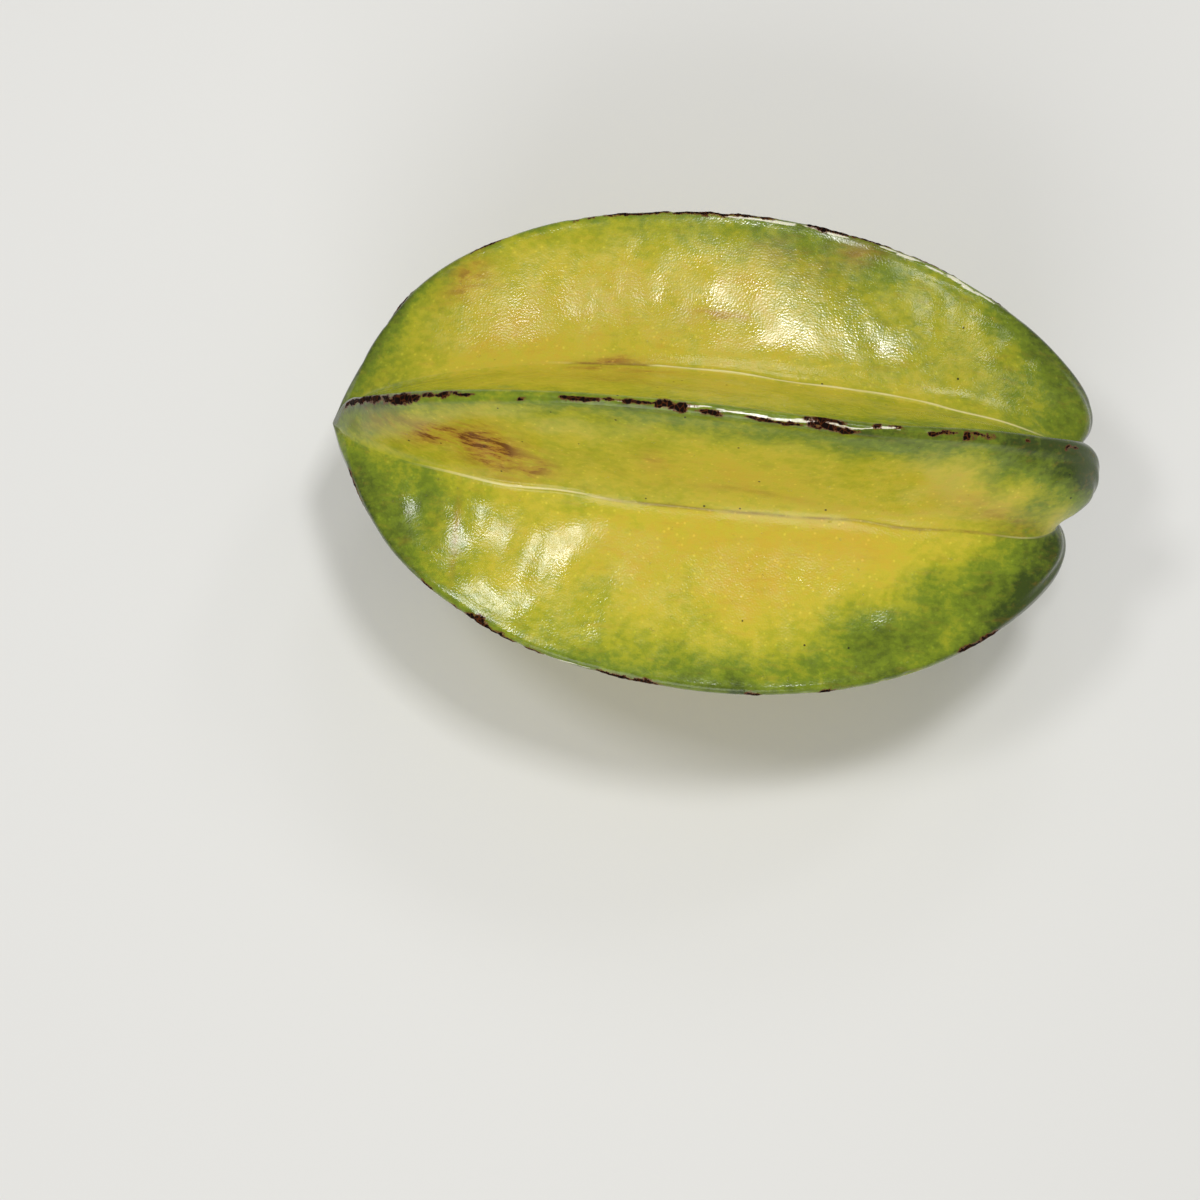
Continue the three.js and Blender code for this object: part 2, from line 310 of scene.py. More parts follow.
BROAD_SWELLS = 1.3              # in lump heights, as are the next two
NARROW_SWELLS = 0.8
CRUMPLE = 0.08
NARROW_SQUEEZE = (1.25, 0.72, 0.72)     # makes the narrow swells long across the fruit
PEEL = 0.002
NICK_DEPTH = 0.10
NICK_LEVEL = 1.1                # only ripples above it cut a nick
NICK_WIDTH = 0.9
FACE_FROM_CREST = (1.5, 5)      # distance over which the lumps come in
FACE_FROM_VALLEY = (0.8, 5)
LUMPS_COME = (-0.5, 0.5)        # noise over which a calm part turns into a rough one
LEAST_LUMPS = 0.25              # share of the lumps that is left between the rough parts
PEEL_OFF_FACE = 0.3             # share of the peel that is left near crests and valleys
SHALLOWEST = 0.04               # the skin lies at least this far under the smooth shape
RELIEF_STARTS = (0, 0.05)       # stretches of t over which the relief comes and goes at the poles
RELIEF_ENDS = (0.90, 0.96)

DENT_TRIES = 260
DENT_ROWS_OFF_POLES = 8
DENT_OFF_CREST = 2.5
DENT_OFF_VALLEY = 2
DENT_SIZES = (0.8, 2.6)
DENT_STEEPNESS = (0.05, 0.12)   # depth per size
DIMPLE_SHARE = 0.7              # the others are bumps
BUMP_HEIGHT = 0.6               # of a dimple's depth
DENT_STRETCH = (0.8, 1, 1)

SEED = 41

# Smooth noise patterns: wavelength in millimetres and own seed.
RIPPLES = {
    "crest wander": (7.0, 1), "crest frays": (2.6, 2), "scab gaps": (2.0, 15),
    "bruise wander": (9.0, 3), "patch wander": (14.0, 11), "suture wander": (13.0, 13),
    "browned ends": (9.0, 16), "calm parts": (40, 227), "broad swells": (14, 609),
    "narrow swells": (6.5, 1888), "crumple": (4.0, 5), "crumple strength": (16, 10),
    "peel": (1.3, 6), "crust": (0.9, 7), "nicks": (3.0, 8), "rim strength": (9, 12),
    "suture strength": (22, 14),
}
WAVES = 36                      # cosines in each pattern
WAVE_SPREAD = (0.7, 1.5)        # shortest and longest wave for a wavelength of 1

# ---- Noise of the skin's colours and gloss: scale in cycles per metre, detail and roughness ----

MOTTLE = (42.0, 2.0, 0.55)
CLOUD = (210.0, 6.0, 0.65)
GRAIN = (1100.0, 3.0, 0.6)
FIBRES = (900.0, 3.0, 0.6)
TORN = (680.0, 6.0, 0.7)
CRUMBLE = (1000.0, 6.0, 0.7)
SHEEN = (260.0, 3.0, 0.55)
WRINKLES = (320.0, 0.0, 0.5)
ORANGE_PEEL = (3600.0, 0.0, 0.5)

# How far a pattern is squeezed along the axes. Below 1 it is drawn out along the fruit.
GRAIN_DRAWN = (0.7, 1.0, 1.0)
FIBRES_DRAWN = (0.22, 1.0, 1.0)
TORN_DRAWN = (0.3, 1.0, 1.0)
CRACKS_DRAWN = (1.6, 1.0, 1.0)

SPECKS_PER_METRE = 380.0
PORES_PER_METRE = 850.0
CRACKS_PER_METRE = 900.0
PALER = (1.4, 1.4, 1.9)         # factors that make a pore of the skin's colour
CORK_SHADE = (0.35, 0.33, 0.30)     # and the dark parts of the cork of its light ones

MEAN_GREENNESS = 0.34           # ripeness of plain skin, from 0 for gold to 1 for dark green
SKIN_IOR = 1.43
SKIN_COAT = 0.10
COAT_ROUGHNESS = 0.12
SCAB_ROUGHENS = 0.45
STALK_ROUGHENS = 0.3
WRINKLE_BUMP = 0.2
PEEL_BUMP = 0.12
BUMP_STRENGTH = 0.5
BUMP_DISTANCE = 0.0004          # metres
LIGHT_REACH = 0.002             # metres that light travels under the skin
LIGHT_REACH_BY_COLOUR = (1.0, 0.75, 0.18)

# ---- Curves and noise ----


def spline(values, t):
    """The uniform Catmull-Rom curve through the rows of values, read at each t from 0 to 1."""
    points = np.asarray(values, float).reshape(len(values), -1)
    last = len(points) - 1
    place = t * last
    left = np.clip(np.floor(place).astype(int), 0, last - 1)
    w = (place - left)[:, None]
    before, start, end, after = (points[np.clip(left + k, 0, last)] for k in (-1, 0, 1, 2))
    leave, arrive = (end - before) / 2, (after - start) / 2
    cubic = 2 * start - 2 * end + leave + arrive
    square = -3 * start + 3 * end - 2 * leave - arrive
    return cubic * w**3 + square * w**2 + leave * w + start


def along(values, t):
    """One smooth number at each t, from a list given at even steps."""
    return spline(values, t)[:, 0]


def smooth_step(low, high, x):
    """0 below low, 1 above high, and 3s^2 - 2s^3 between them."""
    s = np.clip((x - low) / (high - low), 0, 1)
    return s * s * (3 - 2 * s)


def bell(x, centre, width):
    """A Gaussian bell of height 1, whose half width is where it has dropped to 0.37."""
    return np.exp(-(((x - centre) / width) ** 2))


def ridge(x, height, centre, width):
    """A bell of that height."""
    return height * bell(x, centre, width)


def blend_numbers(a, b, share):
    """a where share is 0, b where it is 1, and the straight mix between."""
    return a + (b - a) * share


# ---- The fruit's shape ----


def even_rows(count):
    """Values of t that give rows of even spacing along a crest, both poles left out."""
    fine = np.linspace(0, 1, CURVE_SAMPLES)
    line = spline(CREST_LINE, fine)
    run = np.concatenate([[0], np.cumsum(np.linalg.norm(np.diff(line, axis=0), axis=1))])
    return np.interp(np.linspace(0, run[-1], count + 1), run, fine)[1:-1]


def edge_radius(t, crest_radius):
    """Rounding of the rib's edge: thin along the rib, and the full radius at both ends."""
    thin = np.minimum(blend_numbers(EDGE_RADIUS, LOBE_RADIUS, smooth_step(*EDGE_GROWS_FAT, t)), crest_radius)
    full = np.maximum(1 - smooth_step(*APEX_GROWS_THIN, t), smooth_step(*STEM_GROWS_ROUND, t))
    return blend_numbers(thin, crest_radius, full)


def edge_half_thickness(radius, depth):
    """Half the width of a circle of that radius, depth below its top, and of the circle below its middle."""
    return np.sqrt(np.maximum(radius**2 - np.maximum(radius - depth, 0) ** 2, 0))


def valley_after(index, t):
    """Place of the valley that follows a rib: x, radius and angle in degrees, for each t."""
    rib, following = RIBS[index], RIBS[(index + 1) % len(RIBS)]
    span = (following["angle"] - rib["angle"]) % 360
    x, radius = spline(VALLEY_LINE, t).T
    deeper = blend_numbers(1, rib["valley_depth"], smooth_step(*VALLEY_DEEPENS, t))
    return x, radius * deeper, rib["angle"] + span / 2 + along(rib["valley_turn"], t)


def half_rib(index, side, share, t):
    """Points of one face of a rib, as an array over t and over share.

    Share is 0 on the crest and 1 in the valley. In the rib's own plane the point drops from the
    crest by share of the rib's depth. Its distance from the plane is the rounded edge's half
    thickness, plus what is left to the valley times a spread that bulges and then flares close to
    the valley. It is then turned to the rib's angle.
    """
    rib = RIBS[index]
    crest_x, crest_radius = spline(CREST_LINE, t).T
    crest_x = crest_x + rib["reach"] * smooth_step(*REACH_COMES, t) * (1 - smooth_step(*REACH_GOES, t))
    crest_radius = crest_radius * along(rib["height"], t)
    valley_x, valley_radius, valley_angle = valley_after(index if side > 0 else index - 1, t)

    turn_between = (valley_angle - rib["angle"] + 180) % 360 - 180
    half_angle = np.radians(np.abs(turn_between))
    valley_out = (valley_radius * np.sin(half_angle))[:, None]
    depth = (crest_radius - valley_radius * np.cos(half_angle))[:, None]
    edge = edge_radius(t, crest_radius)[:, None]

    swell = blend_numbers(FACE_SWELL, LOBE_SWELL, smooth_step(*FACE_TURNS_LOBE, t))[:, None]
    spread = (1 - VALLEY_FLARE) * share**swell + VALLEY_FLARE * share**FLARE_POWER
    base = edge_half_thickness(edge, depth)
    thickness = edge_half_thickness(edge, share * depth) + (valley_out - base) * spread
    up = crest_radius[:, None] - share * depth
    out = side * thickness + along(rib["sway"], t)[:, None] * (1 - share) ** SWAY_FADE
    x = blend_numbers(crest_x[:, None], valley_x[:, None], share**RAKE_POWER)

    turn = math.radians(rib["angle"])
    y = up * math.sin(turn) + out * math.cos(turn)
    z = up * math.cos(turn) - out * math.sin(turn)
    return np.stack([x, y, z], axis=-1)


def grown_surface(rows, across):
    """The smooth skin with its labels: a grid of rows from apex to scar and columns round the ribs.

    Each rib gives the columns from its last valley over its crest and down to just before the next
    valley. The labels are the rib, the side, and the distances along the skin from the crest and
    from the valley.
    """
    t = even_rows(rows)
    share = np.sin(math.pi / 2 * np.linspace(0, 1, across + 1)) ** COLUMN_CROWDING
    points, rib_label, side_label, from_crest, from_valley = [], [], [], [], []
    for index in range(len(RIBS)):
        for side in (-1, 1):
            face = half_rib(index, side, share[None, :], t)
            steps = np.linalg.norm(np.diff(face, axis=1), axis=-1)
            run = np.concatenate([np.zeros((len(t), 1)), np.cumsum(steps, axis=1)], axis=1)
            rest = run[:, -1:] - run
            keep = slice(across, 0, -1) if side < 0 else slice(0, across)
            points.append(face[:, keep])
            from_crest.append(run[:, keep])
            from_valley.append(rest[:, keep])
            rib_label.append(np.full(across, index))
            side_label.append(np.full(across, side))
    return {
        "t": t,
        "points": np.concatenate(points, axis=1),
        "rib": np.concatenate(rib_label),
        "side": np.concatenate(side_label),
        "from_crest": np.concatenate(from_crest, axis=1),
        "from_valley": np.concatenate(from_valley, axis=1),
    }


def lay_down(points):
    """Turns the fruit about its length until both feet are level."""
    lowest = []
    for index in FEET:
        crest = half_rib(index, 1, np.zeros((1, 1)), np.linspace(*FOOT_STRETCH, FOOT_SAMPLES))[:, 0]
        lowest.append(crest[np.argmin(crest[:, 2])])
    near, far = lowest
    roll = -math.atan2(near[2] - far[2], near[1] - far[1])
    y, z = points[..., 1], points[..., 2]
    turned_y = y * math.cos(roll) - z * math.sin(roll)
    turned_z = y * math.sin(roll) + z * math.cos(roll)
    return np.stack([points[..., 0], turned_y, turned_z], axis=-1)


def outward_normals(points, poles):
    """Unit normals of the grid: the cross product of its two directions, pointing away from the axis."""
    padded = np.concatenate([
        np.broadcast_to(poles[0], (1,) + points.shape[1:]), points,
        np.broadcast_to(poles[1], (1,) + points.shape[1:]),
    ])
    down = padded[2:] - padded[:-2]
    around = np.roll(points, -1, axis=1) - np.roll(points, 1, axis=1)
    normal = np.cross(down, around)
    return normal / np.maximum(np.linalg.norm(normal, axis=-1, keepdims=True), 1e-9)


def ripples(points, pattern):
    """Seeded smooth noise of about unit spread: a sum of cosines in random directions near one wavelength."""
    wavelength, seed = RIPPLES[pattern]
    draw = np.random.default_rng(SEED + seed)
    direction = draw.normal(size=(WAVES, 3))
    direction /= np.linalg.norm(direction, axis=1, keepdims=True)
    pace = 2 * math.pi / (wavelength * draw.uniform(*WAVE_SPREAD, WAVES))
    phase = draw.uniform(0, 2 * math.pi, WAVES)
    summed = np.zeros(points.shape[:-1])
    for k in range(WAVES):
        summed += np.cos(points @ (direction[k] * pace[k]) + phase[k])
    return summed * math.sqrt(2 / WAVES)


def uneven(points, pattern, mean, swing):
    """A strength that is mean on the whole, and changes by swing for a unit of the pattern's noise."""
    return mean + swing * ripples(points, pattern)


# ---- Where the markings are, as a number for each point of the grid ----


def crest_marks(grid, marks):
    """1 in the middle of each long mark on a crest, falling to 0 at its ragged ends and sides."""
    points = grid["points"]
    ragged = ripples(points, "crest frays")
    signed = grid["from_crest"] * grid["side"][None, :] + CREST_WANDER * ripples(points, "crest wander")
    x = points[..., 0] + CREST_FRAY * ragged
    fuller = MARK_UNEVEN[0] + MARK_UNEVEN[1] * ragged
    field = np.zeros(points.shape[:2])
    for index, start, end, half_width, lean in marks:
        mine = (grid["rib"] == index)[None, :]
        begun = smooth_step(start - MARK_BEFORE_END, start + MARK_INSIDE_END, x)
        ended = smooth_step(end - MARK_INSIDE_END, end + MARK_BEFORE_END, x)
        pinch = 1 - MARK_PINCH * np.abs((x - (start + end) / 2) / (end - start) * 2) ** 2
        taper = half_width * fuller * np.maximum(pinch, MARK_LEAST_WIDTH)
        distance = np.abs(signed - lean) / np.maximum(taper, MARK_THINNEST)
        across = 1 - smooth_step(*MARK_SIDES, distance)
        field = np.maximum(field, mine * (begun * (1 - ended)) * across)
    return field


def scab_field(grid):
    """The corky scars of all the crests, thinner in some places."""
    marks = [(index, *scab) for index, rib in enumerate(RIBS) for scab in rib["scabs"]]
    whole = smooth_step(*SCAB_GAPS, ripples(grid["points"], "scab gaps"))
    return crest_marks(grid, marks) * blend_numbers(THIN_SCAB, 1, whole)


def bruise_field(grid):
    """Soft long patches on the faces where the skin has gone brown."""
    points = grid["points"]
    wander = ripples(points, "bruise wander")
    field = np.zeros(points.shape[:2])
    for index, side, x, edge, length, width, drift, strength in BRUISES:
        mine = ((grid["rib"] == index) & (grid["side"] == side))[None, :]
        dx = points[..., 0] - x
        dy = grid["from_crest"] - edge - drift * dx + BRUISE_WANDER * wander
        patch = np.exp(-((dx / length) ** 2) - (dy / width) ** 2)
        field = np.maximum(field, mine * strength * patch)
    return field


def face_patches(grid, patches):
    """Broad soft patches of the faces, added up where they overlap."""
    points = grid["points"]
    wander = ripples(points, "patch wander")
    field = np.zeros(points.shape[:2])
    for index, side, x, edge, length, width, change in patches:
        mine = ((grid["rib"] == index) & (grid["side"] == side))[None, :]
        dx = (points[..., 0] - x + PATCH_WANDER[0] * wander) / length
        dy = (grid["from_crest"] - edge + PATCH_WANDER[1] * wander) / width
        field = field + mine * change * np.exp(-(dx**2) - dy**2)
    return field


def suture_distance(grid):
    """Distance from the fine line that wanders a little either side of the bottom of each valley."""
    wander = SUTURE_WANDER * ripples(grid["points"], "suture wander")
    return np.abs(grid["from_valley"] * grid["side"][None, :] - wander)


def own_valley(grid):
    """For each column, the number of the rib before the valley that the column's face runs down to."""
    return (grid["rib"] + (grid["side"] > 0) - 1) % len(RIBS)


def line_field(grid):
    """0 before the line along the bottom of each valley starts, rising to 1 where it is at full strength."""
    start = np.array(LINE_STARTS)[own_valley(grid)][None, :]
    return smooth_step(start, start + LINE_RISE, grid["points"][..., 0])


def brown_and_shade_field(grid):
    """1 along each stretch of valley floor that is brown and painted with shade, falling to 0 at its ends."""
    valley = own_valley(grid)
    x = grid["points"][..., 0] + BROWN_AND_SHADE_WANDER * ripples(grid["points"], "browned ends")
    field = np.zeros(x.shape)
    for index, centre, half_length in BROWN_AND_SHADED_VALLEYS:
        near = 1 - smooth_step(*BROWN_AND_SHADE_END, np.abs(x - centre) / half_length)
        field = np.maximum(field, (valley == index)[None, :] * near)
    return field


# ---- Relief ----


def dents(grid):
    """Dimples and bumps at seeded places on the faces: bells, as deep as their steepness times their size."""
    points = grid["points"]
    draw = np.random.default_rng(SEED)
    rows, columns = points.shape[:2]
    height = np.zeros((rows, columns))
    for _ in range(DENT_TRIES):
        row = draw.integers(DENT_ROWS_OFF_POLES, rows - DENT_ROWS_OFF_POLES)
        column = draw.integers(0, columns)
        off_crest, off_valley = grid["from_crest"][row, column], grid["from_valley"][row, column]
        if off_crest < DENT_OFF_CREST or off_valley < DENT_OFF_VALLEY:
            continue
        size = draw.uniform(*DENT_SIZES)
        sign = -1 if draw.random() < DIMPLE_SHARE else BUMP_HEIGHT
        gap = np.linalg.norm((points - points[row, column]) * DENT_STRETCH, axis=-1)
        height += sign * draw.uniform(*DENT_STEEPNESS) * size * np.exp(-((gap / size) ** 2))
    return height


def rim_relief(grid):
    """A rounded rim along each edge and a slight furrow inside it, each a bell across, fuller to the stem."""
    points, edge = grid["points"], grid["from_crest"]
    fullness = 0.5 + 0.5 * smooth_step(*RIM_GROWS_FULL, points[..., 0])
    strength = fullness * uneven(points, "rim strength", *RIM_UNEVEN)
    return strength * (ridge(edge, *RIM) - ridge(edge, *RIM_FURROW))


def face_relief(grid, look):
    """Soft lumps of the faces, weaker in their calmer parts, with a fine peel over everything."""
    points = grid["points"]
    on_face = smooth_step(*FACE_FROM_CREST, grid["from_crest"])
    on_face = on_face * smooth_step(*FACE_FROM_VALLEY, grid["from_valley"])
    noisy_parts = smooth_step(*LUMPS_COME, ripples(points, "calm parts"))
    rough_parts = blend_numbers(LEAST_LUMPS, 1, noisy_parts) * (1 - face_patches(grid, CALM))
    swells = BROAD_SWELLS * ripples(points, "broad swells")
    swells = swells + NARROW_SWELLS * ripples(points * NARROW_SQUEEZE, "narrow swells")
    crumple = CRUMPLE * ripples(points, "crumple") * uneven(points, "crumple strength", *CRUMPLE_UNEVEN)
    lumps = look.lump_height / MM * (swells + crumple) * rough_parts * on_face
    return lumps + PEEL * ripples(points, "peel") * blend_numbers(PEEL_OFF_FACE, 1, on_face)


def edge_relief(grid, scab, look):
    """The scabs stand up with an uneven top, and small nicks are cut into the edge."""
    points = grid["points"]
    crust = look.scab_height / MM * scab * uneven(points, "crust", *CRUST_UNEVEN)
    cut = np.maximum(ripples(points, "nicks") - NICK_LEVEL, 0)
    return crust - NICK_DEPTH * cut * bell(grid["from_crest"], 0, NICK_WIDTH)


def suture_relief(grid):
    """A fine raised line between two furrows along each valley, which join to one along the brown and shaded
    stretches.
    """
    points = grid["points"]
    strength = line_field(grid) * (1 - smooth_step(*SUTURE_ENDS, points[..., 0]))
    strength = strength * smooth_step(*SUTURE_BREAKS, ripples(points, "suture strength"))
    off_line = suture_distance(grid)
    raised = 1 - brown_and_shade_field(grid)
    depth, aside, width = SUTURE_FURROW
    furrows = depth * bell(off_line, aside * raised, width)
    return strength * (raised * ridge(off_line, *SUTURE_RIDGE) - furrows)


def relief(grid, scab, look):
    """Height of the skin's relief over the smooth shape, never above it.

    It is the sum of the rim, the lumps, the scabs, the line in the valleys and the dents, lowered by
    the inset, capped just under the smooth shape, and faded out at the poles.
    """
    height = rim_relief(grid) + face_relief(grid, look) + edge_relief(grid, scab, look)
    height = height + suture_relief(grid) + dents(grid)
    ends = smooth_step(*RELIEF_STARTS, grid["t"]) * (1 - smooth_step(*RELIEF_ENDS, grid["t"]))
    return np.minimum(height - look.inset / MM, -SHALLOWEST) * ends[:, None]


# ---- Mesh ----


def closed_faces(rows, columns):
    """Quads of the grid, closed round its columns, and a fan of triangles at each pole."""
    row = np.arange(rows - 1)[:, None]
    column = np.arange(columns)[None, :]
    following = (column + 1) % columns
    corner = 1 + row * columns
    quads = np.stack([corner + column, corner + columns + column, corner + columns + following,
                      corner + following], axis=-1).reshape(-1, 4)
    ring = np.arange(columns)
    after = (ring + 1) % columns
    last = 1 + (rows - 1) * columns
    apex = np.stack([np.zeros(columns, int), 1 + ring, 1 + after], axis=-1)
    scar = np.stack([np.full(columns, last + columns), last + after, last + ring], axis=-1)
    return quads, apex, scar


def shift_into_box(smooth):
    """The move that brings the laid down fruit's apex, middle and top to those of the CAD node's box."""
    low, high = (np.array(corner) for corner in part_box("fruit"))
    plain = lay_down(smooth).reshape(-1, 3) * MM
    shift = (low + high) / 2 - (plain.min(axis=0) + plain.max(axis=0)) / 2
    shift[0] = low[0]
    shift[2] = high[2] - plain[:, 2].max()
    return shift


def skin_fields(grid, scab):
    """The numbers at each point of the grid that the material reads."""
    smooth = grid["points"]
    off_axis = np.linalg.norm(smooth[..., 1:], axis=-1)
    return {
        "edge": grid["from_crest"],
        "groove": suture_distance(grid),
        "length": smooth[..., 0] / smooth[..., 0].max(),
        "scab": scab,
        "bruise": bruise_field(grid),
        "tone": face_patches(grid, TONES),
        "stalk": (1 - smooth_step(*STALK_SCAR, off_axis)) * (grid["t"][:, None] > 0.5),
        # A pale line painted on stretches of the crests as their highlight.
        "waxy": crest_marks(grid, PAINTED_CREST_HIGHLIGHTS),
        # Olive brown along stretches of the valley floors, partly painted shade in the creases.
        "browned": brown_and_shade_field(grid),
        "line": line_field(grid),
    }


def skin_mesh(name, look):
    """Builds the skin's mesh, laid in the CAD node's box, with the fields that its material reads."""
    grid = grown_surface(look.rows, look.steps_across)
    poles = [np.array([CREST_LINE[0][0], 0, 0]), np.array([CREST_LINE[-1][0], 0, 0])]
    scab = scab_field(grid)
    smooth = grid["points"]
    carved = smooth + outward_normals(smooth, poles) * relief(grid, scab, look)[..., None]
    rows, columns = carved.shape[:2]
    in_order = np.concatenate([poles[0][None], carved.reshape(-1, 3), poles[1][None]])
    places = lay_down(in_order) * MM + shift_into_box(smooth)
    places[:, 2] = np.maximum(places[:, 2], 0)

    quads, apex, scar = closed_faces(rows, columns)
    mesh = bpy.data.meshes.new(name)
    mesh.from_pydata(places, [], quads.tolist() + apex.tolist() + scar.tolist())
    mesh.polygons.foreach_set("use_smooth", np.ones(len(mesh.polygons), bool))
    for field_name, values in skin_fields(grid, scab).items():
        flat = np.concatenate([[values[0].mean()], values.ravel(), [values[-1].mean()]])
        attribute = mesh.attributes.new(field_name, "FLOAT", "POINT")
        attribute.data.foreach_set("value", flat.astype(np.float32))
    write_uv(mesh, rows, columns)
    mesh.validate()
    return mesh


def write_uv(mesh, rows, columns):
    """A plain map: u runs from apex to scar and v runs once round the ribs."""
    vertex = np.zeros(len(mesh.loops), int)
    mesh.loops.foreach_get("vertex_index", vertex)
    row = np.clip((vertex - 1) // columns + 1, 0, rows + 1)
    column = (vertex - 1) % columns
    v = column / columns
    corners = np.zeros(len(mesh.polygons), int)
    mesh.polygons.foreach_get("loop_total", corners)
    face = np.repeat(np.arange(len(corners)), corners)
    highest = np.zeros(len(corners))
    np.maximum.at(highest, face, v)
    v = np.where((v == 0) & (highest[face] > 0.5), 1.0, v)
    layer = mesh.uv_layers.new(name="skin")
    layer.data.foreach_set("uv", np.stack([row / (rows + 1), v], axis=-1).ravel().astype(np.float32))


# ---- Material ----


def fill(tree, socket, value):
    """Links a socket to a value that is a socket itself, and sets it to any other."""
    if isinstance(value, bpy.types.NodeSocket):
        tree.links.new(value, socket)
    else:
        socket.default_value = value


def add_node(tree, kind, **inputs):
    """Adds a shader node and fills its inputs, by name or, written as _0 or _1, by number."""
    node = tree.nodes.new(kind)
    for key, value in inputs.items():
        name = int(key[1:]) if key[0] == "_" else key.replace("_", " ")
        fill(tree, node.inputs[name], value)
    return node


def math_node(tree, operation, a, b, clamp=False):
    """One sum, difference, product or comparison of two values."""
    node = add_node(tree, "ShaderNodeMath", _0=a, _1=b)
    node.operation = operation
    node.use_clamp = clamp
    return node.outputs[0]


def product(tree, a, b, clamp=False):
    """a times b."""
    return math_node(tree, "MULTIPLY", a, b, clamp)


def total(tree, *parts):
    """All the parts added up."""
    result = parts[0]
    for part in parts[1:]:
        result = math_node(tree, "ADD", result, part)
    return result


def skin_field(tree, name):
    """One of the fields that skin_mesh writes at every vertex."""
    node = tree.nodes.new("ShaderNodeAttribute")
    node.attribute_name = name
    return node.outputs["Fac"]


def ranged(tree, value, span, result=(0.0, 1.0)):
    """Maps a value smoothly from a span to a result, given as pairs, and holds it at both ends."""
    node = tree.nodes.new("ShaderNodeMapRange")
    node.interpolation_type = "SMOOTHSTEP"
    for socket, number in zip(node.inputs[:5], (value, *span, *result)):
        fill(tree, socket, number)
    return node.outputs[0]


def noise(tree, where, scale, detail, roughness):
    """Fractal noise from 0 to 1."""
    node = add_node(tree, "ShaderNodeTexNoise", Vector=where, Scale=scale, Detail=detail, Roughness=roughness)
    return node.outputs["Fac"]


def mixed(tree, share, a, b, blend_type="MIX"):
    """Colour a with b laid over it by a share."""
    node = tree.nodes.new("ShaderNodeMix")
    node.data_type = "RGBA"
    node.blend_type = blend_type
    fill(tree, node.inputs["Factor"], share)
    for socket, value in ((node.inputs[6], a), (node.inputs[7], b)):
        fill(tree, socket, value if isinstance(value, bpy.types.NodeSocket) else (*value[:3], 1.0))
    return node.outputs[2]


def stretched(tree, where, scale):
    """The same coordinates squeezed along the axes, so that a pattern on them is drawn out."""
    node = tree.nodes.new("ShaderNodeMapping")
    fill(tree, node.inputs["Vector"], where)
    node.inputs["Scale"].default_value = scale
    return node.outputs[0]


def ripeness(tree, where):
    """0 for warm gold and 1 for dark green. Edges, ends and mottles are the greener parts."""
    edge, length = skin_field(tree, "edge"), skin_field(tree, "length")
    parts = (
        ranged(tree, edge, (0.0, 9.0), (0.22, 0.0)),
        ranged(tree, edge, (0.4, 2.4), (0.16, 0.0)),
        ranged(tree, length, (0.0, 0.2), (0.32, 0.0)),
        ranged(tree, length, (0.76, 1.0), (0.0, 0.42)),
        skin_field(tree, "tone"),
        ranged(tree, noise(tree, where, *MOTTLE), (0.3, 0.7), (-0.08, 0.08)),
        ranged(tree, noise(tree, where, *CLOUD), (0.3, 0.7), (-0.09, 0.09)),
        ranged(tree, noise(tree, stretched(tree, where, GRAIN_DRAWN), *GRAIN), (0.35, 0.65), (-0.06, 0.06)),
    )
    return math_node(tree, "ADD", total(tree, *parts), MEAN_GREENNESS, clamp=True)


def skin_colours(tree, greenness, look):
    """The colours that the skin goes through as it ripens, from gold at 0 to deep green at 1."""
    ramp = tree.nodes.new("ShaderNodeValToRGB")
    tree.links.new(greenness, ramp.inputs[0])
    stops = ((0.0, look.ripe), (0.24, look.yellow), (0.45, look.lime), (0.68, look.green), (1.0, look.deep))
    while len(ramp.color_ramp.elements) < len(stops):
        ramp.color_ramp.elements.new(0.5)
    for element, (position, colour) in zip(ramp.color_ramp.elements, stops):
        element.position = position
        element.color = (*colour, 1.0)
    return ramp.outputs[0]


def with_bruises(tree, colour, where, torn, look):
    """Faint fibres all over, and bruises: russet where torn fibres show, and dark brown in their middle."""
    fibres = noise(tree, stretched(tree, where, FIBRES_DRAWN), *FIBRES)
    colour = mixed(tree, ranged(tree, fibres, (0.52, 0.75), (0.0, 0.16)), colour, look.russet)
    bruise = skin_field(tree, "bruise")
    stain = product(tree, bruise, ranged(tree, torn, (0.34, 0.58), (0.2, 1.0)))
    colour = mixed(tree, product(tree, stain, 0.8, clamp=True), colour, look.russet)
    deepest = product(tree, bruise, bruise)
    dark = product(tree, deepest, ranged(tree, torn, (0.49, 0.61), (0.0, 0.75)), clamp=True)
    return mixed(tree, dark, colour, look.bruise)


def with_crease(tree, colour, torn, look):
    """An olive brown line along a valley's bottom, partly its own brown and partly painted shade in the
    crease under an overhanging face.
    """
    on_line = ranged(tree, skin_field(tree, "groove"), (0.0, 0.45), (0.75, 0.0))
    browned = product(tree, skin_field(tree, "browned"), ranged(tree, torn, (0.4, 0.6), (0.4, 1.0)))
    return mixed(tree, product(tree, on_line, browned), colour, look.crease)


def with_specks(tree, colour, where, look):
    """A few tiny near black specks, and many pale pores."""
    speck = add_node(tree, "ShaderNodeTexVoronoi", Vector=where, Scale=SPECKS_PER_METRE)
    chosen = math_node(tree, "GREATER_THAN", speck.outputs["Color"], 0.68)
    spot = ranged(tree, speck.outputs["Distance"], (0.045, 0.085), (0.9, 0.0))
    colour = mixed(tree, product(tree, spot, chosen), colour, look.scab)
    pore = add_node(tree, "ShaderNodeTexVoronoi", Vector=where, Scale=PORES_PER_METRE)
    pore_share = ranged(tree, pore.outputs["Distance"], (0.06, 0.24), (0.6, 0.0))
    return mixed(tree, pore_share, colour, mixed(tree, 1.0, colour, PALER, "MULTIPLY"))


